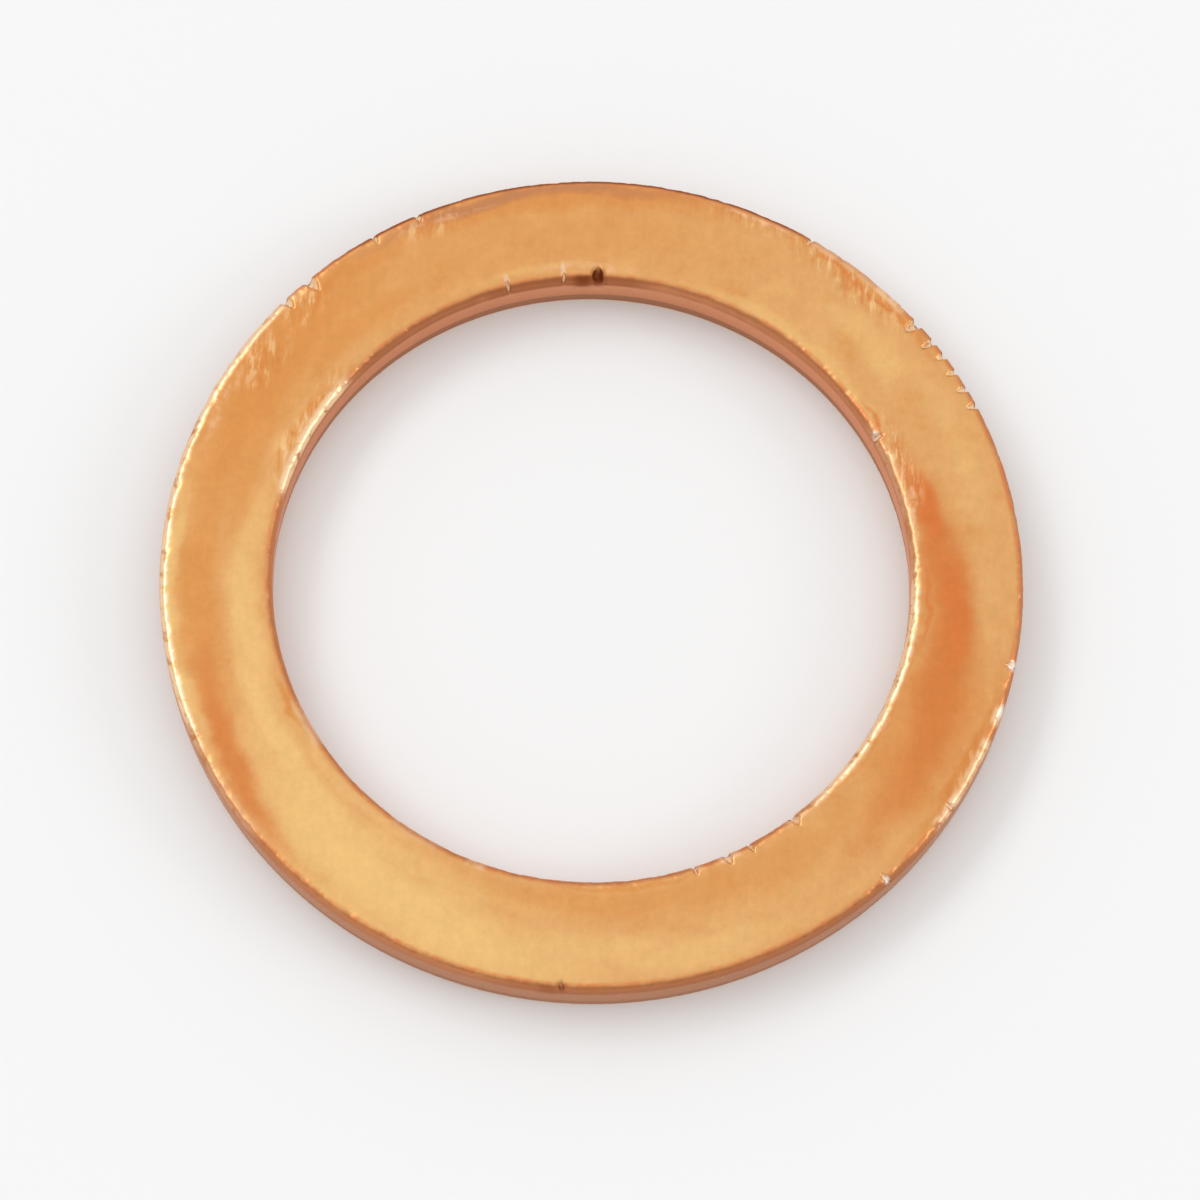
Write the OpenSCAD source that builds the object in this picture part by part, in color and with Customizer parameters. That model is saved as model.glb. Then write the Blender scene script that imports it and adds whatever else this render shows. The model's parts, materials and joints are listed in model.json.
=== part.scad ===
// Flat copper sealing ring for a 16 mm drain plug.
// One piece, blanked from rolled copper strip: both sealing faces are flat and
// parallel, the top face has the rolled-over edges of the punched side, and each
// wall is a burnished land above a slightly tapered break.
// It lies on its bottom face, with +Z along the axis of the bore.

/* [Ring] */
// Diameter of the bore, a loose fit over the thread of the plug
bore_d = 16.2; // [14.2:0.1:18.2]
// Diameter over the outer wall
outside_d = 21.9; // [20.4:0.1:26]
// Thickness between the two sealing faces
thickness = 1.5; // [1:0.1:2.5]

/* [Blanked edges] */
// Radius of the rolled-over outer edge of the top face
outer_roll_r = 0.22; // [0.1:0.02:0.4]
// Radius of the rolled-over bore edge of the top face
bore_roll_r = 0.24; // [0.1:0.02:0.4]
// Height of the broken zone of each wall, above the bottom face
break_h = 0.5; // [0.2:0.05:0.55]
// How far the broken zone falls back from the land, at the bottom face
break_taper = 0.04; // [0.02:0.01:0.08]
// Radius that tumbling leaves on the edges of the bottom face
tumbled_r = 0.1; // [0.04:0.02:0.14]

/* [Handling marks] */
// Depth of the deepest nick, measured in from the sharp edge
nick_depth = 0.34; // [0.2:0.02:0.4]
// Width of the widest nick along the edge
nick_w = 0.42; // [0.2:0.02:0.6]
// Number of chatter marks in the row on the outer edge
chatter_n = 4; // [0:1:10]
// Angle between neighbouring chatter marks
chatter_pitch = 2.8; // [2.4:0.2:4]
// Depth of a chatter mark, measured in from the sharp edge
chatter_depth = 0.24; // [0.16:0.02:0.3]
// Width of a chatter mark along the edge
chatter_w = 0.26; // [0.16:0.02:0.4]

/* [Hidden] */
$fn = 144;
bore_r = bore_d / 2;
outside_r = outside_d / 2;
// How far a cutting shape stands clear of what it cuts
clear_by = 0.2;
// Polar angle of the first chatter mark
chatter_start = 27.8;
// Nicks on the outer and the bore edge of the top face: polar angle, share of the
// greatest depth, share of the greatest width
outer_nicks = [[38.7, 0.95, 0.6], [42.1, 1, 1], [60.9, 0.62, 0.42], [117.2, 0.6, 0.66],
    [123.9, 0.65, 0.4], [134.8, 1, 0.9], [139.1, 0.75, 0.8], [268.5, 0.6, 0.5],
    [314.7, 0.6, 0.6], [328, 0.6, 0.52], [349.6, 0.65, 0.52]];
bore_nicks = [[29.8, 0.65, 0.6], [91.4, 0.82, 0.86], [97.6, 0.6, 0.4], [107.8, 0.65, 0.42],
    [290.6, 0.65, 0.4], [296.7, 0.68, 0.66], [301.2, 0.65, 0.4], [310.4, 0.7, 0.8]];

// The waste outside a rounded corner at the origin that opens towards +X and +Y
module corner_waste(r) {
    translate([-r, -r])
        difference() {
            square(r + clear_by);
            circle(r, $fn = 64);
        }
}

// Section of the wall waste from the break line down to the bottom face
module break_waste() {
    polygon([[0, break_h], [clear_by, break_h], [clear_by, -clear_by],
        [-break_taper * (1 + clear_by / break_h), -clear_by]]);
}

// Half section of the ring, with the axis at x = 0
module ring_section() {
    difference() {
        translate([bore_r, 0]) square([outside_r - bore_r, thickness]);
        translate([outside_r, 0]) break_waste();
        translate([bore_r, 0]) mirror([1, 0]) break_waste();
        translate([outside_r, thickness]) corner_waste(outer_roll_r);
        translate([bore_r, thickness]) mirror([1, 0]) corner_waste(bore_roll_r);
        translate([outside_r - break_taper, 0]) mirror([0, 1]) corner_waste(tumbled_r);
        translate([bore_r + break_taper, 0]) mirror([1, 0]) mirror([0, 1]) corner_waste(tumbled_r);
    }
}

// A round-bottomed groove across the top edge of a wall of radius edge_r.
// It slopes from the wall to the face: outward is 1 on the outer wall, -1 in the bore.
module edge_nick(edge_r, outward, angle, depth, w) {
    groove_r = (w * w / 4 + depth * depth) / (2 * depth);
    rotate([0, 0, angle])
        translate([edge_r, 0, thickness])
            rotate([0, outward * 45, 0])
                translate([0, 0, groove_r - depth])
                    rotate([0, 90, 0])
                        cylinder(r = groove_r, h = 4 * nick_depth, center = true, $fn = 32);
}

module washer() {
    color([0.87, 0.59, 0.35])
        difference() {
            rotate_extrude() ring_section();
            for (n = outer_nicks)
                edge_nick(outside_r, 1, n[0], nick_depth * n[1], nick_w * n[2]);
            for (n = bore_nicks)
                edge_nick(bore_r, -1, n[0], nick_depth * n[1], nick_w * n[2]);
            for (i = [0 : chatter_n - 1])
                edge_nick(outside_r, 1, chatter_start + i * chatter_pitch, chatter_depth, chatter_w);
        }
}

washer();
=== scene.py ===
import json
from math import cos, pi, radians, sin, sqrt

import bpy
from mathutils import Matrix, Vector


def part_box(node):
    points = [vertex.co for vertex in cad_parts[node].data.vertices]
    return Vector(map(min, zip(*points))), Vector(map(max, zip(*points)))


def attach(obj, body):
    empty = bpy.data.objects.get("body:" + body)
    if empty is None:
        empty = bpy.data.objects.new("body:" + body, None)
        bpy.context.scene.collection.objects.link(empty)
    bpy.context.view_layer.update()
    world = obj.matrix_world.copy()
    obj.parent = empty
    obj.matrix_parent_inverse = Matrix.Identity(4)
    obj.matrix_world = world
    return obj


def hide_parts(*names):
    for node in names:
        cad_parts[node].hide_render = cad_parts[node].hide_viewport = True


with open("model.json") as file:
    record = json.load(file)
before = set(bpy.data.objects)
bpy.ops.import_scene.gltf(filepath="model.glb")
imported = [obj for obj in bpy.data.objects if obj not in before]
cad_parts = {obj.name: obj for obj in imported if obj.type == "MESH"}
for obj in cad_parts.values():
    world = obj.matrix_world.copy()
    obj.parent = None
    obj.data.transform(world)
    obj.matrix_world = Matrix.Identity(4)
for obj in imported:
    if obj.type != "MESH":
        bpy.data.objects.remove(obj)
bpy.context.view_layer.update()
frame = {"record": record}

# A copper sealing ring for a drain plug, blanked, tumbled and laid on a white table.
# Sizes of the ring are in millimetres here, those of the table, lamps and camera in metres.

mm = 0.001
slant = sqrt(0.5)                # how far a step of 1 along the 45 degree line goes each way
boreMount = next(m for m in frame["record"]["mounts"] if m["name"] == "bore")
washerLow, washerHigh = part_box("washer")

ring = {
    "boreRadius": boreMount["dims"]["r_mm"],
    "outerRadius": (washerHigh[0] - washerLow[0]) / 2 / mm,
    "thickness": (washerHigh[2] - washerLow[2]) / mm,
    "boreRoll": 0.24,            # rolled-over edges of the top face
    "outerRoll": 0.22,
    "tumbledEdge": 0.10,         # softened edges of the bottom face
    "breakHeight": 0.50,         # torn lower zone of both walls
    "breakTaper": 0.04,
    "faceWave": 0.006,           # how far the top face dips
    "edgeWear": 0.030,           # unevenness of the rolled edges
    "tearDepth": 0.022,          # roughness of the torn zone
    "rimStrip": 0.30,            # finely meshed strip of the face beside each rolled edge
    "around": 1650,              # sections round the ring
    "rollSteps": 9,
    "tumbledSteps": 3,
    "landSteps": 4,
    "breakSteps": 5,
    "stripSteps": 5,
    "faceSteps": 5,
    "seed": 4.0,
    # where the wear starts and where it is full
    "rollFade": (0.20, 0.12),    # distance from the line of the sharp corner
    "tearTop": (0.56, 0.46),     # height
    "tearFoot": (0.02, 0.12),
    "wallFade": (0.10, 0.05),    # distance from the wall
    "faceFade": (0.02, 0.0),     # distance below the top face
    "biteLevels": (0.42, 0.72),  # levels of the noise that wears the rolled edges
    # noises: scale, detail, roughness
    "biteNoise": (2.6, 3.0, 0.6),
    "tearNoise": (9.0, 3.0, 0.65),
    "faceNoise": (0.55, 2.0, 0.5),
    "tearStretch": 0.5,          # share of the height that the torn zone's noise sees
}

nicks = {
    "depth": 0.34,               # of the deepest nick, from the sharp edge
    "width": 0.42,               # of the widest nick, along the edge
    # polar angle, share of the depth, share of the width
    "outer": [(38.7, 0.95, 0.6), (42.1, 1.0, 1.0), (60.9, 0.62, 0.42), (117.2, 0.6, 0.66),
              (123.9, 0.65, 0.4), (134.8, 1.0, 0.9), (139.1, 0.75, 0.8), (268.5, 0.6, 0.5),
              (314.7, 0.6, 0.6), (328.0, 0.6, 0.52), (349.6, 0.65, 0.52)],
    "bore": [(29.8, 0.65, 0.6), (91.4, 0.82, 0.86), (97.6, 0.6, 0.4), (107.8, 0.65, 0.42),
             (290.6, 0.65, 0.4), (296.7, 0.68, 0.66), (301.2, 0.65, 0.4), (310.4, 0.7, 0.8)],
    "chatterCount": 4,           # row of small marks on the outer edge
    "chatterStart": 27.8,
    "chatterPitch": 2.8,
    "chatterDepth": 0.24,
    "chatterWidth": 0.26,
    "raggedness": 0.55,          # how far the marks depart from smooth grooves
    "sidewaysShare": 2.0,        # how much more they do so along the edge
    "raggedNoise": (6.5, 3.0, 0.6),     # scale, detail, roughness
}


# Small helpers for node trees

def addNode(tree, kind, feeds=None, **settings):
    node = tree.nodes.new(kind)
    for name, value in settings.items():
        setattr(node, name, value)
    for socket, value in (feeds or {}).items():
        feed(tree, node.inputs[socket], value)
    return node


def feed(tree, socket, value):
    if isinstance(value, bpy.types.NodeSocket):
        tree.links.new(value, socket)
    else:
        socket.default_value = value


def calc(tree, operation, *values):
    return addNode(tree, "ShaderNodeMath", dict(enumerate(values)), operation=operation).outputs[0]


def product(tree, first, *others):
    for other in others:
        first = calc(tree, "MULTIPLY", first, other)
    return first


def diagonal(tree, a, b):
    return calc(tree, "SQRT", calc(tree, "ADD", product(tree, a, a), product(tree, b, b)))


def smoothStep(tree, value, low, high, toLow=0.0, toHigh=1.0):
    feeds = {"Value": value, "From Min": low, "From Max": high, "To Min": toLow, "To Max": toHigh}
    # a smooth step keeps to its range by itself, and the clamp would cost each mask a place in memory
    node = addNode(tree, "ShaderNodeMapRange", feeds, interpolation_type="SMOOTHSTEP", clamp=False)
    return node.outputs[0]


def vectorCalc(tree, operation, first, second):
    return addNode(tree, "ShaderNodeVectorMath", {0: first, 1: second}, operation=operation).outputs


def scaled(tree, vector, scale):
    feeds = {0: vector, "Scale": scale}
    return addNode(tree, "ShaderNodeVectorMath", feeds, operation="SCALE").outputs[0]


def joined(tree, x=0.0, y=0.0, z=0.0):
    return addNode(tree, "ShaderNodeCombineXYZ", {"X": x, "Y": y, "Z": z}).outputs[0]


def split(tree, vector):
    return addNode(tree, "ShaderNodeSeparateXYZ", {0: vector}).outputs[:3]


def noise(tree, vector, look, seed=None):
    scale, detail, roughness = look
    feeds = {"Vector": vector, "Scale": scale, "Detail": detail, "Roughness": roughness}
    if seed is not None:
        feeds["W"] = seed
    dimensions = "3D" if seed is None else "4D"
    return addNode(tree, "ShaderNodeTexNoise", feeds, noise_dimensions=dimensions).outputs


def startTree(name, kind, inputs, outputs):
    tree = bpy.data.node_groups.new(name, kind)
    for label, (socketType, default) in inputs.items():
        socket = tree.interface.new_socket(label, in_out="INPUT", socket_type=socketType)
        if default is not None:
            socket.default_value = default
    for label, socketType in outputs.items():
        tree.interface.new_socket(label, in_out="OUTPUT", socket_type=socketType)
    return tree, tree.nodes.new("NodeGroupInput").outputs, tree.nodes.new("NodeGroupOutput").inputs


def storeValue(tree, geometry, name, value):
    feeds = {"Geometry": geometry, "Name": name, "Value": value}
    return addNode(tree, "GeometryNodeStoreNamedAttribute", feeds).outputs[0]


def storedValue(tree, name):
    return addNode(tree, "GeometryNodeInputNamedAttribute", {"Name": name}).outputs[0]


def together(tree, *geometries):
    node = addNode(tree, "GeometryNodeJoinGeometry")
    for geometry in geometries:
        tree.links.new(geometry, node.inputs[0])
    return node.outputs[0]


# The ring: a half section joined from arcs and lines, swept round the bore

def sectionLeg(tree, curve, place):
    pointsPerLeg = 100.0         # more than any leg has, so that the legs keep their order
    points = addNode(tree, "GeometryNodeCurveToPoints", {"Curve": curve}, mode="EVALUATED")
    index = addNode(tree, "GeometryNodeInputIndex").outputs[0]
    order = calc(tree, "ADD", index, place * pointsPerLeg)
    return storeValue(tree, points.outputs["Points"], "order", order)


def arcLeg(tree, place, centre, radius, startAngle, steps):
    feeds = {"Resolution": steps, "Radius": radius, "Start Angle": startAngle, "Sweep Angle": pi / 2}
    arc = addNode(tree, "GeometryNodeCurveArc", feeds).outputs[0]
    feeds = {"Geometry": arc, "Translation": joined(tree, *centre)}
    return sectionLeg(tree, addNode(tree, "GeometryNodeTransform", feeds).outputs[0], place)


def lineLeg(tree, place, start, end, steps):
    feeds = {"Start": joined(tree, *start), "End": joined(tree, *end)}
    line = addNode(tree, "GeometryNodeCurvePrimitiveLine", feeds).outputs[0]
    feeds = {"Curve": line, "Count": steps}
    return sectionLeg(tree, addNode(tree, "GeometryNodeResampleCurve", feeds).outputs[0], place)


def addSection(tree, size):
    # x runs outward from the bore wall, y is the height
    width = calc(tree, "SUBTRACT", size["Outer Radius"], size["Bore Radius"])
    edge, taper, top, tear = (size[n] for n in ("Tumbled Edge", "Break Taper", "Thickness", "Break Height"))
    boreRoll, outerRoll = size["Bore Roll"], size["Outer Roll"]
    lowIn = calc(tree, "ADD", taper, edge)
    lowOut = calc(tree, "SUBTRACT", width, lowIn)
    highOut = calc(tree, "SUBTRACT", width, outerRoll)
    wallOut = calc(tree, "SUBTRACT", width, taper)
    topOut = calc(tree, "SUBTRACT", top, outerRoll)
    topIn = calc(tree, "SUBTRACT", top, boreRoll)
    stripOut = calc(tree, "SUBTRACT", highOut, size["Rim Strip"])
    stripIn = calc(tree, "ADD", boreRoll, size["Rim Strip"])
    legs = [
        arcLeg(tree, 0, (lowOut, edge), edge, -pi / 2, size["Tumbled Steps"]),
        lineLeg(tree, 1, (wallOut, edge), (width, tear), size["Break Steps"]),
        lineLeg(tree, 2, (width, tear), (width, topOut), size["Land Steps"]),
        arcLeg(tree, 3, (highOut, topOut), outerRoll, 0.0, size["Roll Steps"]),
        lineLeg(tree, 4, (highOut, top), (stripOut, top), size["Strip Steps"]),
        lineLeg(tree, 5, (stripOut, top), (stripIn, top), size["Face Steps"]),
        lineLeg(tree, 6, (stripIn, top), (boreRoll, top), size["Strip Steps"]),
        arcLeg(tree, 7, (boreRoll, topIn), boreRoll, pi / 2, size["Roll Steps"]),
        lineLeg(tree, 8, (0.0, topIn), (0.0, tear), size["Land Steps"]),
        lineLeg(tree, 9, (0.0, tear), (taper, edge), size["Break Steps"]),
        arcLeg(tree, 10, (lowIn, edge), edge, pi, size["Tumbled Steps"]),
        lineLeg(tree, 11, (lowIn, 0.0), (lowOut, 0.0), size["Face Steps"]),
    ]
    feeds = {"Points": together(tree, *legs), "Weight": storedValue(tree, "order")}
    curve = addNode(tree, "GeometryNodePointsToCurves", feeds).outputs[0]
    feeds = {"Geometry": curve, "Cyclic": True}
    return addNode(tree, "GeometryNodeSetSplineCyclic", feeds).outputs[0]


def sweepSection(tree, section, size):
    weldDistance = 0.0005        # joins the points that two legs share
    feeds = {"Resolution": size["Around"], "Radius": size["Bore Radius"]}
    path = addNode(tree, "GeometryNodeCurvePrimitiveCircle", feeds).outputs[0]
    feeds = {"Curve": path, "Profile Curve": section}
    swept = addNode(tree, "GeometryNodeCurveToMesh", feeds).outputs[0]
    feeds = {"Geometry": swept, "Distance": weldDistance}
    welded = addNode(tree, "GeometryNodeMergeByDistance", feeds).outputs[0]
    feeds = {"Geometry": welded, "Rotation": (pi, 0.0, 0.0)}    # the sweep comes out upside down
    return addNode(tree, "GeometryNodeTransform", feeds).outputs[0]


def addChatter(tree, size):
    marks = addNode(tree, "GeometryNodeMeshLine", {"Count": size["Chatter Count"]}).outputs[0]
    index = addNode(tree, "GeometryNodeInputIndex").outputs[0]
    turn = product(tree, index, size["Chatter Pitch"])
    angle = calc(tree, "RADIANS", calc(tree, "ADD", turn, size["Chatter Start"]))
    x = product(tree, calc(tree, "COSINE", angle), size["Outer Radius"])
    y = product(tree, calc(tree, "SINE", angle), size["Outer Radius"])
    feeds = {"Geometry": marks, "Position": joined(tree, x, y, size["Thickness"])}
    marks = addNode(tree, "GeometryNodeSetPosition", feeds).outputs[0]
    for name in ("depth", "width"):
        marks = storeValue(tree, marks, name, size["Chatter " + name.title()])
    return marks


def nickPush(tree, position, cornerGap, size):
    # how deep the nearest mark cuts in at this point, square to the 45 degree line of the edge
    kept = addNode(tree, "GeometryNodeObjectInfo", {"Object": size["Nick Points"]})
    marks = together(tree, kept.outputs["Geometry"], addChatter(tree, size))
    nearest = addNode(tree, "GeometryNodeSampleNearest", {"Geometry": marks}).outputs[0]

    def sampled(value, dataType):
        feeds = {"Geometry": marks, "Value": value, "Index": nearest}
        return addNode(tree, "GeometryNodeSampleIndex", feeds, data_type=dataType).outputs[0]

    depth, width = (sampled(storedValue(tree, name), "FLOAT") for name in ("depth", "width"))
    place = sampled(addNode(tree, "GeometryNodeInputPosition").outputs[0], "FLOAT_VECTOR")
    x, y, _ = split(tree, position)
    placeX, placeY, _ = split(tree, place)
    cross = calc(tree, "SUBTRACT", product(tree, x, placeY), product(tree, y, placeX))
    along = calc(tree, "DIVIDE", cross, diagonal(tree, placeX, placeY))
    along = calc(tree, "DIVIDE", along, product(tree, width, 0.5))
    ragged = noise(tree, position, nicks["raggedNoise"], size["Seed"])[0]
    ragged = product(tree, calc(tree, "SUBTRACT", ragged, 0.5), size["Raggedness"])
    along = calc(tree, "ADD", along, product(tree, ragged, nicks["sidewaysShare"]))
    groove = calc(tree, "SUBTRACT", 1.0, product(tree, along, along))
    groove = product(tree, calc(tree, "ADD", groove, ragged), depth)
    gap = vectorCalc(tree, "DISTANCE", position, place)["Value"]
    near = calc(tree, "LESS_THAN", gap, calc(tree, "ADD", depth, width))
    push = calc(tree, "MAXIMUM", calc(tree, "SUBTRACT", groove, cornerGap), 0.0)
    return product(tree, push, near)


def wearRing(tree, mesh, size):
    position = addNode(tree, "GeometryNodeInputPosition").outputs[0]
    x, y, z = split(tree, position)
    radial = diagonal(tree, x, y)
    middle = product(tree, calc(tree, "ADD", size["Outer Radius"], size["Bore Radius"]), 0.5)
    half = calc(tree, "SUBTRACT", size["Outer Radius"], middle)
    fromMiddle = calc(tree, "SUBTRACT", radial, middle)
    wallGap = calc(tree, "SUBTRACT", half, calc(tree, "ABSOLUTE", fromMiddle))
    topGap = calc(tree, "SUBTRACT", size["Thickness"], z)
    cornerGap = product(tree, calc(tree, "ADD", wallGap, topGap), slant)

    # nicks and worn bites push the rolled edges in along the 45 degree line
    nick = nickPush(tree, position, cornerGap, size)
    bites = smoothStep(tree, noise(tree, position, ring["biteNoise"], size["Seed"])[0], *ring["biteLevels"])
    bites = product(tree, bites, smoothStep(tree, cornerGap, *ring["rollFade"]), size["Edge Wear"])
    slanted = product(tree, calc(tree, "ADD", nick, bites), slant)

    # the torn zones go in, and the top face dips
    onTear = product(tree, smoothStep(tree, z, *ring["tearTop"]), smoothStep(tree, z, *ring["tearFoot"]))
    onWall = smoothStep(tree, wallGap, *ring["wallFade"])
    squeezed = joined(tree, x, y, product(tree, z, ring["tearStretch"]))
    tear = noise(tree, squeezed, ring["tearNoise"], size["Seed"])[0]
    tear = product(tree, tear, size["Tear Depth"], product(tree, onTear, onWall))
    dip = noise(tree, position, ring["faceNoise"], size["Seed"])[0]
    dip = product(tree, dip, smoothStep(tree, topGap, *ring["faceFade"]), size["Face Wave"])

    inward = product(tree, calc(tree, "ADD", slanted, tear), calc(tree, "SIGN", fromMiddle), -1.0)
    share = calc(tree, "DIVIDE", inward, radial)
    down = product(tree, calc(tree, "ADD", slanted, dip), -1.0)
    offset = joined(tree, product(tree, x, share), product(tree, y, share), down)
    return addNode(tree, "GeometryNodeSetPosition", {"Geometry": mesh, "Offset": offset}).outputs[0]


def makeNickPoints():
    marks = [(ring["outerRadius"], *nick) for nick in nicks["outer"]]
    marks += [(ring["boreRadius"], *nick) for nick in nicks["bore"]]
    places = [(radius * cos(radians(angle)), radius * sin(radians(angle)), ring["thickness"])
              for radius, angle, _, _ in marks]
    mesh = bpy.data.meshes.new("nickPoints")
    mesh.from_pydata(places, [], [])
    for column, name in ((2, "depth"), (3, "width")):
        attribute = mesh.attributes.new(name, "FLOAT", "POINT")
        attribute.data.foreach_set("value", [mark[column] * nicks[name] for mark in marks])
    points = bpy.data.objects.new("nickPoints", mesh)
    bpy.context.collection.objects.link(points)
    return points


def ringValues(nickPoints, material):
    # the tree's inputs by label: the type of the socket and the value
    values = {"Nick Points": ("NodeSocketObject", nickPoints), "Copper": ("NodeSocketMaterial", material)}
    ringLabels = ("Bore Radius", "Outer Radius", "Thickness", "Bore Roll", "Outer Roll", "Tumbled Edge",
                  "Break Height", "Break Taper", "Face Wave", "Edge Wear", "Tear Depth", "Rim Strip",
                  "Around", "Roll Steps", "Tumbled Steps", "Land Steps", "Break Steps", "Strip Steps",
                  "Face Steps", "Seed")
    nickLabels = ("Chatter Count", "Chatter Start", "Chatter Pitch", "Chatter Depth", "Chatter Width",
                  "Raggedness")
    for source, labels in ((ring, ringLabels), (nicks, nickLabels)):
        for label in labels:
            value = source[label[0].lower() + label[1:].replace(" ", "")]
            values[label] = ("NodeSocketInt" if isinstance(value, int) else "NodeSocketFloat", value)
    return values


def makeRing(material):
    nickPoints = makeNickPoints()
    values = ringValues(nickPoints, material)
    inputs = {label: (kind, value if kind in ("NodeSocketFloat", "NodeSocketInt") else None)
              for label, (kind, value) in values.items()}
    outputs = {"Geometry": "NodeSocketGeometry"}
    tree, size, result = startTree("blankedRing", "GeometryNodeTree", inputs, outputs)
    worn = wearRing(tree, sweepSection(tree, addSection(tree, size), size), size)
    metres = addNode(tree, "GeometryNodeTransform", {"Geometry": worn, "Scale": (mm, mm, mm)}).outputs[0]
    smooth = addNode(tree, "GeometryNodeSetShadeSmooth", {"Geometry": metres}).outputs[0]
    real = addNode(tree, "GeometryNodeRealizeInstances", {"Geometry": smooth}).outputs[0]
    feeds = {"Geometry": real, "Material": size["Copper"]}
    tree.links.new(addNode(tree, "GeometryNodeSetMaterial", feeds).outputs[0], result[0])

    body = bpy.data.objects.new("washerRing", bpy.data.meshes.new("washerRing"))
    bpy.context.collection.objects.link(body)
    modifier = body.modifiers.new("blankedRing", "NODES")
    modifier.node_group = tree
    for item in tree.interface.items_tree:
        if item.in_out == "INPUT":
            modifier[item.identifier] = values[item.name][1]
    bpy.context.view_layer.update()
    evaluated = body.evaluated_get(bpy.context.evaluated_depsgraph_get())
    plain = bpy.data.meshes.new_from_object(evaluated)
    body.modifiers.remove(modifier)
    body.data = plain
    for name in [a.name for a in plain.attributes if a.name in ("order", "depth", "width")]:
        plain.attributes.remove(plain.attributes[name])
    bpy.data.objects.remove(nickPoints)
    print("ring", len(plain.vertices), "vertices", len(plain.polygons), "faces")
    return body


# The copper: satin orange faces with tarnish and painted reflections, pink cut walls, painted highlights
# and painted shade on the edges

patchLabels = ("Angle", "Radius", "Half Length", "Half Width", "Slant", "Strength")
arcLabels = ("Angle", "Half Span", "Strength")

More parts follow.
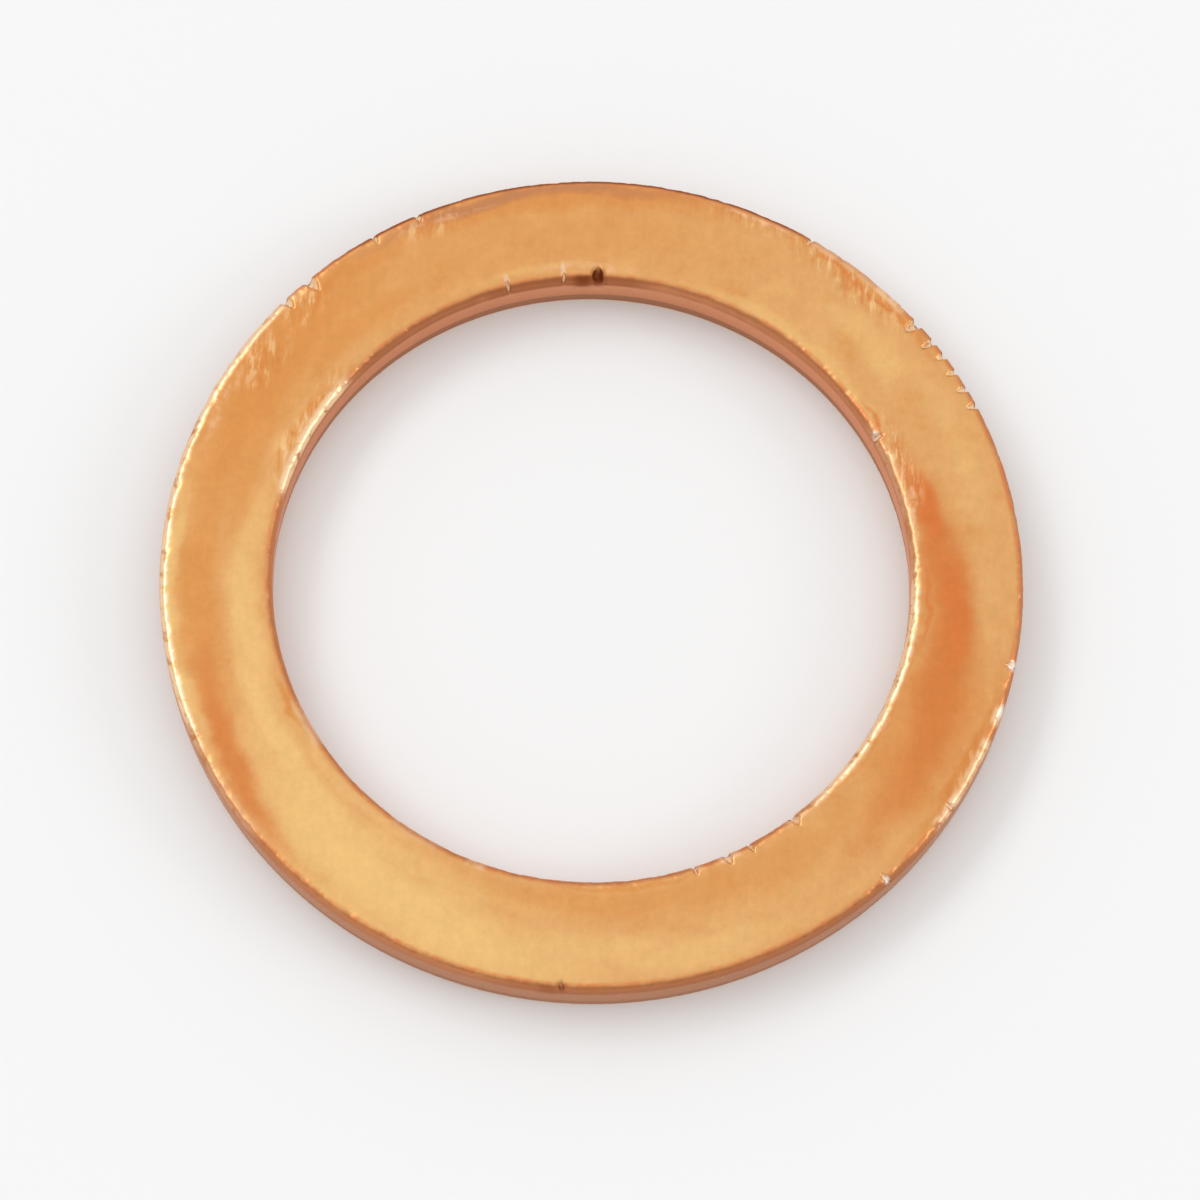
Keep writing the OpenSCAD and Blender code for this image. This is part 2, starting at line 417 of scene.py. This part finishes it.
copper = {
    # base colours, linear
    "tan": (0.780, 0.406, 0.151),
    "pale": (0.875, 0.545, 0.212),
    "orange": (0.730, 0.298, 0.083),
    "darkOrange": (0.700, 0.225, 0.061),
    "redOrange": (0.720, 0.200, 0.054),
    "rolledEdge": (0.74, 0.270, 0.100),
    "paintedHighlightEdge": (0.95, 0.660, 0.400),
    "rolledLip": (0.52, 0.200, 0.088),
    "outerWall": (0.58, 0.305, 0.185),
    "outerTear": (0.51, 0.270, 0.175),
    # lighter than the outer wall: painted light on the bore wall
    "litBoreWall": (0.80, 0.375, 0.210),
    "boreTear": (0.50, 0.250, 0.150),
    "freshCut": (0.95, 0.650, 0.390),
    "glint": (1.00, 0.900, 0.800),
    "pink": (0.86, 0.470, 0.250),
    "brown": (0.560, 0.245, 0.110),
    "scratch": (0.94, 0.640, 0.330),
    "grime": (0.300, 0.085, 0.028),
    "darkSpotTint": (0.250, 0.060, 0.018),
    # patches, partly tarnish and partly painted reflection of the room's light and dark on the face:
    #     # polar angle, radius, half length round the ring, half width across it, slant outward along the
    #     ring, strength
    "palePatches": [(240, 9.85, 7.2, 1.15, 0.10, 0.95), (190, 8.80, 3.6, 0.52, 0.0, 0.80),
                    (217, 9.05, 5.6, 0.46, 0.0, 0.9), (247, 8.92, 4.2, 0.42, 0.0, 0.65),
                    (226, 8.45, 2.4, 0.24, 0.0, 0.45), (300, 9.60, 2.6, 0.50, 0.0, 0.25),
                    (270, 9.90, 3.2, 0.55, 0.0, 0.65), (24, 10.1, 2.8, 0.55, 0.0, 0.3),
                    # (187, 10.70) is the painted highlight of the left edge; (52, 8.36) and (100, 8.50)
                    # paint the pale reflection band of the far bore edge
                    (288, 10.3, 3.2, 0.5, 0.0, 0.55), (187, 10.70, 4.4, 0.28, 0.0, 0.95),
                    (240, 10.70, 5.0, 0.30, 0.0, 0.6), (52, 8.36, 4.2, 0.24, 0.0, 0.5),
                    (46, 9.60, 1.8, 0.50, 0.0, 0.5), (100, 8.50, 2.4, 0.14, 0.0, 0.6)],
    # (92, 8.46) and (16, 8.30) paint pale reflection on the bore edge too
    "pinkPatches": [(92, 8.46, 1.6, 0.15, 0.0, 0.8), (16, 8.30, 2.2, 0.12, 0.04, 0.9),
                    (340, 8.34, 2.6, 0.10, 0.0, 0.5), (66, 10.74, 2.8, 0.09, 0.0, 0.9),
                    (114, 10.60, 1.6, 0.09, 0.0, 0.5), (157, 10.5, 1.4, 0.14, 0.0, 0.7)],
    "orangePatches": [(150, 9.86, 6.2, 1.05, 0.0, 0.9), (186, 9.95, 4.4, 0.75, 0.0, 0.8),
                      (100, 10.5, 6.2, 0.66, 0.0, 0.85), (274, 8.72, 4.8, 0.52, 0.0, 0.6),
                      # (104, 9.6) is painted shade that darkens the far side of the face
                      (104, 9.6, 7.5, 1.7, 0.0, 0.45), (136, 10.35, 4.6, 0.55, 0.0, 0.85),
                      (135, 9.10, 3.2, 0.60, 0.0, 0.75), (163, 9.20, 2.8, 0.50, 0.0, 0.7),
                      (148, 10.62, 5.0, 0.26, 0.0, 0.8), (150, 8.50, 1.8, 0.24, 0.0, 0.5),
                      (334, 10.68, 3.4, 0.24, 0.0, 0.9), (332, 8.65, 2.4, 0.34, 0.0, 0.5),
                      (337, 8.40, 3.8, 0.13, 0.0, 0.8), (279, 8.32, 2.4, 0.12, 0.0, 0.8),
                      (207, 8.34, 0.8, 0.12, 0.0, 0.9), (156, 9.25, 5.2, 0.55, 0.0, 0.5),
                      (302, 8.95, 4.6, 0.90, 0.0, 0.5), (335, 9.45, 3.6, 1.1, 0.0, 0.7),
                      (50, 10.65, 3.2, 0.22, 0.0, 0.7)],
    "darkPatches": [(350, 9.20, 6.4, 0.84, -0.12, 0.95), (211, 10.34, 3.5, 0.46, 0.106, 0.85),
                    (338, 9.6, 2.8, 1.5, 0.0, 0.45), (98, 10.68, 5.6, 0.26, 0.0, 0.6)],
    "redPatches": [(15, 8.68, 1.5, 0.40, -0.10, 0.9), (357, 9.20, 2.0, 0.44, -0.1, 0.6),
                   (29, 8.28, 1.3, 0.08, 0.14, 0.8), (23, 8.45, 0.9, 0.07, 0.18, 0.7),
                   (50, 10.6, 2.6, 0.08, 0.0, 0.5), (357, 8.50, 1.4, 0.07, 0.0, 0.6)],
    "brownPatches": [(103, 10.68, 4.8, 0.24, 0.0, 0.9)],
    # scuffed spots, where the lines of the strip's rolling show strongly
    "scuffs": [(53, 10.5, 2.2, 0.42, 0.0, 1.0), (70, 10.6, 1.3, 0.32, 0.0, 0.7),
               (117, 10.5, 0.9, 0.42, 0.0, 0.8), (137.5, 10.4, 1.0, 0.42, 0.0, 0.9),
               (148, 10.2, 1.0, 0.6, 0.0, 0.9), (154, 8.4, 2.0, 0.34, 0.0, 1.0),
               (24, 8.35, 1.5, 0.50, 0.0, 0.9), (333, 10.7, 1.7, 0.28, 0.0, 0.6)],
    "warp": 0.42,                # how far noise pushes the patch borders, in mm
    "patchFade": (1.2, 0.25),    # shares of the half sizes where a patch starts and where it is full
    "lowerFaceTurn": 140.0,      # degrees that the lower face's patches are turned by
    "lowerFaceHeight": 0.05,     # what lies below this height counts as the lower face
    # arcs of the rolled edges: polar angle, half span, strength; the first two lists paint highlights on
    # them
    "paintedHighlightOuterArcs": [(173, 34, 1.0), (47.2, 2.6, 0.75), (52.6, 3.2, 0.4), (58.4, 2.2, 0.45),
                        (213, 9, 0.3), (325.2, 0.9, 0.7), (328.2, 2.0, 0.9), (333, 3.4, 0.6),
                        (337, 1.6, 0.85), (342.2, 1.2, 0.8)],
    "paintedHighlightBoreArcs": [(155, 12, 1.0), (339, 24, 1.0), (16, 16, 0.3), (212, 4.5, 0.45), (240, 5, 0.25),
                       (252, 1.6, 0.5), (291, 1.0, 0.4), (297, 2.0, 0.5), (311, 2.5, 0.5)],
    # darkened arcs: painted dark reflection along the rolled edges, partly grime
    "darkenedOuterArcs": [(95, 34, 0.9), (290, 30, 0.25)],
    "darkenedBoreArcs": [(98, 15, 0.45), (92.5, 3.5, 0.6), (126, 14, 0.3)],
    "arcFade": (0.14, 0.5),      # length of an arc's ends: share of its half span, and degrees more
    # dark spots in and under the nicks: painted shade, partly grime
    "darkSpots": [(91.4, 8.26, 0.23, 0.23, 0.0, 1.0), (94.1, 8.15, 0.34, 0.11, 0.0, 0.8),
                   (268.5, 10.82, 0.16, 0.16, 0.0, 0.45), (266.9, 10.92, 0.36, 0.10, 0.0, 0.3)],
    "glints": [(349.6, 10.88, 0.17, 0.13, 0.0, 1.0), (314.7, 10.86, 0.12, 0.10, 0.0, 0.7),
               (30.2, 8.22, 0.13, 0.10, 0.0, 0.7), (343, 10.90, 0.25, 0.07, 0.0, 0.8),
               (97.6, 8.40, 0.08, 0.24, 0.0, 0.3), (107.8, 8.36, 0.09, 0.22, 0.0, 0.28)],
    # zones of the ring: the distance that counts, where the zone starts and where it is full, in mm
    "zones": {
        "wall": [("wallGap", 0.14, 0.04), ("topGap", 0.10, 0.24), ("height", 0.0, 0.06)],
        "tear": [("height", 0.58, 0.44)],
        "roll": [("cornerGap", 0.165, 0.11)],
        # the band of the rolled edge where the highlights are painted
        "worn": [("cornerGap", 0.20, 0.12)],
        "lip": [("wallGap", 0.17, 0.08), ("topGap", 0.46, 0.30)],
        "belowFace": [("topGap", 0.02, 0.09)],
        "nick": [("underEdge", 0.035, 0.075), ("topGap", 0.7, 0.5)],
        "aboveGrime": [("topGap", 0.58, 0.42)],
        "aboveWall": [("topGap", 0.38, 0.24)],
    },
    "lipStrength": 0.8,
    # what the noises do: the level where it starts, the level where it is full, and the values at
    # both, which are 0 and 1 where none are given
    "paleMottle": (0.50, 0.78, 0.0, 0.45),
    "orangeMottle": (0.48, 0.25, 0.0, 0.60),
    "roughMottle": (0.3, 0.7, -0.04, 0.04),
    "pinkBlotches": (0.38, 0.56),
    "paintedHighlightBlotches": (0.28, 0.52),
    "rollBlotches": (0.35, 0.60, 0.45, 1.0),
    "shadeBlotches": (0.3, 0.7, -0.015, 0.015),
    "scratchLines": (0.52, 0.62, 0.0, 0.6),
    "darkLines": (0.48, 0.38, 0.0, 0.6),
    "shadeLines": (0.3, 0.7, 0.97, 1.0),
    "shadeFine": (0.3, 0.7, -0.025, 0.025),
    "spotFreeNick": (0.3, 0.0),
    # noises: scale, detail, roughness
    "driftNoise": (0.6, 4.0, 0.62),
    "mottleNoise": (1.1, 4.0, 0.6),
    "blotchNoise": (3.2, 3.0, 0.6),
    "fineNoise": (7.0, 3.0, 0.6),
    "lineNoise": (1.0, 3.0, 0.6),
    "lineScale": (6.5, 1.5),     # of the lines of the strip's rolling, across and along them
    "swellNoise": (0.8, 2.0, 0.5),
    "grainNoise": (13.0, 2.0, 0.5),
    "dragNoise": (8.0, 3.0, 0.6),
    "dragStretch": 0.12,         # share of the height that the walls' drag lines see
    "tornNoise": (11.0, 3.0, 0.6),
    # heights of the relief, in mm
    "swellHeight": 0.004,
    "grainHeight": 0.0008,
    "lineHeight": 0.0008,
    "scuffHeight": 0.006,
    "dragHeight": 0.004,
    "tornHeight": 0.010,
    "grazingTint": (1.0, 0.78, 0.66, 1.0),
    "faceRoughness": 0.34,
    "edgeRoughness": 0.33,
    "darkenedRoughness": 0.55,
    "landRoughness": 0.30,
    "tornRoughness": 0.50,
}


def polar(tree, vector):
    x, y, _ = split(tree, vector)
    angle = calc(tree, "DEGREES", calc(tree, "ARCTAN2", y, x))
    return {"Point Angle": angle, "Point Radius": diagonal(tree, x, y)}


def level(tree, value, name):
    return smoothStep(tree, value, *copper[name])


def startMask(name, labels):
    inputs = {label: ("NodeSocketFloat", None) for label in labels}
    tree, given, result = startTree(name, "ShaderNodeTree", inputs, {"Mask": "NodeSocketFloat"})
    off = calc(tree, "SUBTRACT", given["Point Angle"], given["Angle"])
    return tree, given, result, calc(tree, "WRAP", off, 180.0, -180.0)


def makeTintPatch():
    tree, given, result, off = startMask("tintPatch", ("Point Angle", "Point Radius", *patchLabels))
    along = product(tree, calc(tree, "RADIANS", off), given["Radius"])
    outward = calc(tree, "SUBTRACT", given["Point Radius"], given["Radius"])
    across = calc(tree, "SUBTRACT", outward, product(tree, along, given["Slant"]))
    u = calc(tree, "DIVIDE", along, given["Half Length"])
    v = calc(tree, "DIVIDE", across, given["Half Width"])
    mask = level(tree, diagonal(tree, u, v), "patchFade")
    tree.links.new(product(tree, mask, given["Strength"]), result["Mask"])
    return tree


def makeRimArc():
    tree, given, result, off = startMask("rimArc", ("Point Angle", *arcLabels))
    fade = calc(tree, "MULTIPLY_ADD", given["Half Span"], *copper["arcFade"])
    beyond = calc(tree, "SUBTRACT", calc(tree, "ABSOLUTE", off), given["Half Span"])
    mask = smoothStep(tree, calc(tree, "DIVIDE", beyond, fade), 1.0, -1.0)
    tree.links.new(product(tree, mask, given["Strength"]), result["Mask"])
    return tree


def anyOf(tree, group, here, labels, rows):
    # the strongest mask of several copies of one group, each set from a row of values
    total = None
    for row in rows:
        node = addNode(tree, "ShaderNodeGroup", node_tree=group)
        for label, value in (*here.items(), *zip(labels, row)):
            feed(tree, node.inputs[label], value)
        total = node.outputs[0] if total is None else calc(tree, "MAXIMUM", total, node.outputs[0])
    return total


def mixColour(tree, mask, first, second, blend="MIX"):
    # the Mix node has sockets A and B for each type of value: the colours are 6 and 7, plain values 2 and 3
    colours = [(*value, 1.0) if isinstance(value, tuple) else value for value in (first, second)]
    feeds = {0: mask, 6: colours[0], 7: colours[1]}
    return addNode(tree, "ShaderNodeMix", feeds, data_type="RGBA", blend_type=blend).outputs[2]


def mixValue(tree, mask, first, second):
    return addNode(tree, "ShaderNodeMix", {0: mask, 2: first, 3: second}).outputs[0]


def findZones(tree, height, radius):
    middle = (ring["outerRadius"] + ring["boreRadius"]) / 2
    onOuter = calc(tree, "GREATER_THAN", radius, middle)
    fromMiddle = calc(tree, "ABSOLUTE", calc(tree, "SUBTRACT", radius, middle))
    wallGap = calc(tree, "SUBTRACT", ring["outerRadius"] - middle, fromMiddle)
    topGap = calc(tree, "SUBTRACT", ring["thickness"], height)
    cornerGap = product(tree, calc(tree, "ADD", wallGap, topGap), slant)

    # how deep this point lies under the rolled edge's own rounding: only nicks go deeper than the wear
    roll = mixValue(tree, onOuter, ring["boreRoll"], ring["outerRoll"])
    legs = [calc(tree, "MAXIMUM", calc(tree, "SUBTRACT", roll, gap), 0.0) for gap in (wallGap, topGap)]
    nearer = calc(tree, "MINIMUM", wallGap, topGap)
    beyond = calc(tree, "MAXIMUM", calc(tree, "SUBTRACT", nearer, roll), 0.0)
    underEdge = calc(tree, "ADD", calc(tree, "SUBTRACT", roll, diagonal(tree, *legs)), beyond)

    gaps = {"height": height, "wallGap": wallGap, "topGap": topGap, "cornerGap": cornerGap,
            "underEdge": underEdge}
    zones = {"outer": onOuter}
    for name, fades in copper["zones"].items():
        zones[name] = product(tree, *[smoothStep(tree, gaps[gap], *fade) for gap, *fade in fades])
    zones["tear"] = product(tree, zones["wall"], zones["tear"])
    return zones


def findPatchPlace(tree, point, height):
    # the lower face has the patches turned round, so that they aren't just under those of the upper face
    onLowerFace = calc(tree, "LESS_THAN", height, copper["lowerFaceHeight"])
    turn = product(tree, onLowerFace, radians(copper["lowerFaceTurn"]))
    feeds = {"Vector": point, "Angle": turn}
    placed = addNode(tree, "ShaderNodeVectorRotate", feeds, rotation_type="Z_AXIS").outputs[0]
    drift = noise(tree, point, copper["driftNoise"])["Color"]
    centred = vectorCalc(tree, "SUBTRACT", drift, (0.5, 0.5, 0.5))["Vector"]
    shift = scaled(tree, centred, copper["warp"] * 2)
    return polar(tree, vectorCalc(tree, "ADD", placed, shift)["Vector"])


def addTarnishAndReflections(tree, patch, place, noises, scuffed):
    mottle, blotches, lines, fine = noises
    colour = mixColour(tree, level(tree, mottle, "paleMottle"), copper["tan"], copper["pale"])
    colour = mixColour(tree, level(tree, mottle, "orangeMottle"), colour, copper["orange"])
    for kind, tint in (("pale", "pale"), ("orange", "orange"), ("dark", "darkOrange"),
                       ("red", "redOrange"), ("brown", "brown"), ("pink", "pink")):
        mask = anyOf(tree, patch, place, patchLabels, copper[kind + "Patches"])
        if kind == "pink":
            mask = product(tree, mask, level(tree, blotches, "pinkBlotches"))
        colour = mixColour(tree, mask, colour, copper[tint])
    for name, tint in (("scratchLines", "scratch"), ("darkLines", "darkOrange")):
        streaks = product(tree, scuffed, level(tree, lines, name))
        colour = mixColour(tree, streaks, colour, copper[tint])
    shade = calc(tree, "ADD", level(tree, fine, "shadeFine"), level(tree, blotches, "shadeBlotches"))
    shade = calc(tree, "ADD", level(tree, lines, "shadeLines"), shade)
    return mixColour(tree, 1.0, colour, joined(tree, shade, shade, shade), "MULTIPLY")


def addEdges(tree, colour, patch, here, zones, blotches):
    # rolled edges, walls, nicks, painted highlights, painted shade that is partly grime, and painted
    # glints, one over the other
    arc = makeRimArc()
    direction = {"Point Angle": here["Point Angle"]}
    arcs = {}
    for kind in ("paintedHighlight", "darkened"):
        outerArcs = anyOf(tree, arc, direction, arcLabels, copper[kind + "OuterArcs"])
        boreArcs = anyOf(tree, arc, direction, arcLabels, copper[kind + "BoreArcs"])
        arcs[kind] = mixValue(tree, zones["outer"], boreArcs, outerArcs)
    darkenedLip = product(tree, zones["lip"], arcs["darkened"])
    spots = anyOf(tree, patch, here, patchLabels, copper["darkSpots"])
    spots = product(tree, spots, zones["aboveGrime"])
    glints = anyOf(tree, patch, here, patchLabels, copper["glints"])
    layers = [
        (product(tree, zones["roll"], level(tree, blotches, "rollBlotches")), copper["rolledEdge"]),
        # the bore wall's lighter colour is painted light
        (zones["wall"], mixColour(tree, zones["outer"], copper["litBoreWall"], copper["outerWall"])),
        (zones["tear"], mixColour(tree, zones["outer"], copper["boreTear"], copper["outerTear"])),
        (product(tree, zones["lip"], zones["belowFace"], copper["lipStrength"]), copper["rolledLip"]),
        # painted dark reflection along the rolled edges, partly grime
        (darkenedLip, copper["grime"]),
        # painted highlights on the rolled edges
        (product(tree, arcs["paintedHighlight"], level(tree, blotches, "paintedHighlightBlotches"), zones["worn"]),
         copper["paintedHighlightEdge"]),
        (product(tree, zones["nick"], level(tree, spots, "spotFreeNick")), copper["freshCut"]),
        # dark spots in the nicks: painted shade, partly grime
        (spots, copper["darkSpotTint"]),
        (product(tree, glints, zones["aboveWall"]), copper["glint"]),
    ]
    for mask, tint in layers:
        colour = mixColour(tree, mask, colour, tint)
    return colour, calc(tree, "MAXIMUM", spots, darkenedLip)


def addRelief(tree, point, zones, lines, scuffed):
    x, y, z = split(tree, point)
    squeezed = joined(tree, x, y, product(tree, z, copper["dragStretch"]))
    places = {"swell": point, "grain": point, "drag": squeezed, "torn": point}
    swell, grain, drag, torn = [
        product(tree, noise(tree, place, copper[name + "Noise"])[0], copper[name + "Height"])
        for name, place in places.items()]
    lineHeight = calc(tree, "MULTIPLY_ADD", scuffed, copper["scuffHeight"], copper["lineHeight"])
    face = calc(tree, "ADD", calc(tree, "ADD", swell, grain), product(tree, lines, lineHeight))
    relief = mixValue(tree, zones["tear"], mixValue(tree, zones["wall"], face, drag), torn)
    return addNode(tree, "ShaderNodeBump", {"Height": relief, "Distance": mm}).outputs[0]


def makeCopper():
    material = bpy.data.materials.new("copper")
    material.use_nodes = True
    tree = material.node_tree
    shader = tree.nodes["Principled BSDF"]
    point = scaled(tree, addNode(tree, "ShaderNodeTexCoord").outputs["Object"], 1 / mm)
    x, y, z = split(tree, point)
    here = polar(tree, point)
    zones = findZones(tree, z, here["Point Radius"])
    place = findPatchPlace(tree, point, z)
    patch = makeTintPatch()

    mottle, blotches, fine = [noise(tree, point, copper[name + "Noise"])[0]
                              for name in ("mottle", "blotch", "fine")]
    lineX, lineY = copper["lineScale"]      # the strip was rolled along y
    stretched = joined(tree, product(tree, x, lineX), product(tree, y, lineY), z)
    lines = noise(tree, stretched, copper["lineNoise"])[0]
    scuffed = anyOf(tree, patch, place, patchLabels, copper["scuffs"])
    colour = addTarnishAndReflections(tree, patch, place, (mottle, blotches, lines, fine), scuffed)
    colour, darkened = addEdges(tree, colour, patch, here, zones, blotches)
    tree.links.new(colour, shader.inputs["Base Color"])

    rough = copper["faceRoughness"]
    for mask, kind in ((zones["roll"], "edge"), (zones["wall"], "land"), (zones["tear"], "torn"),
                       (darkened, "darkened")):
        rough = mixValue(tree, mask, rough, copper[kind + "Roughness"])
    rough = calc(tree, "ADD", rough, level(tree, mottle, "roughMottle"))
    tree.links.new(rough, shader.inputs["Roughness"])
    shader.inputs["Metallic"].default_value = 1.0
    shader.inputs["Specular Tint"].default_value = copper["grazingTint"]
    tree.links.new(addRelief(tree, point, zones, lines, scuffed), shader.inputs["Normal"])
    print("copper ready")
    return material


# Table, light and camera

studio = {
    "tableRadius": 1.5,
    "tableCorners": 96,
    "tableGap": 0.01,            # between the table and the lower face of the ring, in mm
    "tableColour": (0.887, 0.887, 0.887),
    "tableRoughness": 0.85,
    "tableGloss": 0.2,
    "shortRay": 5,               # a ray shorter than this many gaps has come from the lower face
    "horizon": 0.935,            # brightness of the room at the table's edge
    "room": 0.52,                # higher up
    "ceiling": 0.968,            # and at the middle of the soft ceiling light
    "ceilingTilt": 12.0,         # degrees that this middle leans to the far side
    "horizonFade": (0.12, 0.32), # heights between which the horizon fades into the room
    "ceilingFade": (0.05, 0.80), # and the room into the ceiling light
    # lamps: azimuth and elevation seen from the ring, distance, width, height, brightness
    "window": (154.0, 46.5, 3.0, 2.7, 0.80, 2.65),
    "sideLamp": (-6.0, 26.0, 3.0, 1.0, 0.8, 3.6),
}

view = {
    "elevation": 70.0,
    "roll": -2.6,                # degrees that the ring looks turned in the picture
    "distance": 0.1290,          # from the camera to the middle of the ring
    "pixelsPerMm": 39.5,         # at that distance, in a picture 1200 pixels wide
    "ringX": 592.0,              # where the middle of the ring shows
    "ringY": 573.0,
    "pictureWidth": 1200,
    "sensorWidth": 36.0,         # in mm
    "nearest": 0.01,             # nothing closer to the camera than this shows
}


def makeTable():
    corners = studio["tableCorners"]
    turns = [2 * pi * corner / corners for corner in range(corners)]
    rim = [(studio["tableRadius"] * cos(turn), studio["tableRadius"] * sin(turn), -studio["tableGap"] * mm)
           for turn in turns]
    mesh = bpy.data.meshes.new("table")
    mesh.from_pydata(rim, [], [list(range(corners))])
    table = bpy.data.objects.new("table", mesh)
    bpy.context.collection.objects.link(table)
    material = bpy.data.materials.new("tableWhite")
    material.use_nodes = True
    tree = material.node_tree
    shader = tree.nodes["Principled BSDF"]
    shader.inputs["Base Color"].default_value = (*studio["tableColour"], 1.0)
    shader.inputs["Roughness"].default_value = studio["tableRoughness"]
    shader.inputs["Specular IOR Level"].default_value = studio["tableGloss"]
    # from underneath the table can be seen through, also by rays that leave the ring's lower face,
    # so that this face shows and has the light of the room on it
    clear = addNode(tree, "ShaderNodeBsdfTransparent").outputs[0]
    fromBelow = addNode(tree, "ShaderNodeNewGeometry").outputs["Backfacing"]
    rayLength = addNode(tree, "ShaderNodeLightPath").outputs["Ray Length"]
    fromRing = calc(tree, "LESS_THAN", rayLength, studio["tableGap"] * studio["shortRay"] * mm)
    seenThrough = calc(tree, "MAXIMUM", fromBelow, fromRing)
    oneSided = addNode(tree, "ShaderNodeMixShader", {0: seenThrough, 1: shader.outputs[0], 2: clear})
    tree.links.new(oneSided.outputs[0], tree.nodes["Material Output"].inputs["Surface"])
    mesh.materials.append(material)
    print("table ready")


def addLamp(name):
    azimuth, elevation, distance, width, height, brightness = studio[name]
    data = bpy.data.lights.new(name, "AREA")
    data.shape = "RECTANGLE"
    data.size = width
    data.size_y = height
    data.energy = brightness * pi * width * height
    lamp = bpy.data.objects.new(name, data)
    a, e = radians(azimuth), radians(elevation)
    lamp.location = Vector((cos(e) * cos(a), cos(e) * sin(a), sin(e))) * distance
    lamp.rotation_euler = lamp.location.to_track_quat("Z", "Y").to_euler()
    lamp.visible_camera = False
    bpy.context.collection.objects.link(lamp)


def makeLight():
    world = bpy.data.worlds.new("room")
    world.use_nodes = True
    bpy.context.scene.world = world
    tree = world.node_tree
    direction = addNode(tree, "ShaderNodeTexCoord").outputs["Generated"]
    height = split(tree, direction)[2]
    tilt = radians(studio["ceilingTilt"])
    facing = vectorCalc(tree, "DOT_PRODUCT", direction, (0.0, sin(tilt), cos(tilt)))["Value"]
    low = smoothStep(tree, height, *studio["horizonFade"], studio["horizon"], studio["room"])
    high = smoothStep(tree, facing, *studio["ceilingFade"], studio["room"], studio["ceiling"])
    tree.links.new(calc(tree, "MAXIMUM", low, high), tree.nodes["Background"].inputs["Color"])
    addLamp("window")
    addLamp("sideLamp")
    print("light ready")


def makeCamera():
    data = bpy.data.cameras.new("camera")
    data.sensor_width = view["sensorWidth"]
    data.lens = view["pixelsPerMm"] * view["distance"] / mm * view["sensorWidth"] / view["pictureWidth"]
    data.clip_start = view["nearest"]
    camera = bpy.data.objects.new("camera", data)
    e = radians(view["elevation"])
    back = Vector((0.0, -cos(e), sin(e)))
    turn = Matrix.Rotation(radians(-view["roll"]), 3, back)
    right = turn @ Vector((1.0, 0.0, 0.0))
    up = turn @ Vector((0.0, sin(e), cos(e)))
    half = view["pictureWidth"] / 2
    aimX = (half - view["ringX"]) / view["pixelsPerMm"] * mm
    aimY = (view["ringY"] - half) / view["pixelsPerMm"] * mm
    aim = Vector((0.0, 0.0, ring["thickness"] * mm)) + right * aimX + up * aimY
    camera.location = aim + back * view["distance"]
    camera.rotation_euler = Matrix((right, up, back)).transposed().to_euler()
    bpy.context.collection.objects.link(camera)
    bpy.context.scene.camera = camera
    print("camera ready")


bpy.context.scene.view_settings.view_transform = "Standard"
makeCamera()
makeTable()
makeLight()
body = makeRing(makeCopper())
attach(body, "root")
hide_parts("washer")
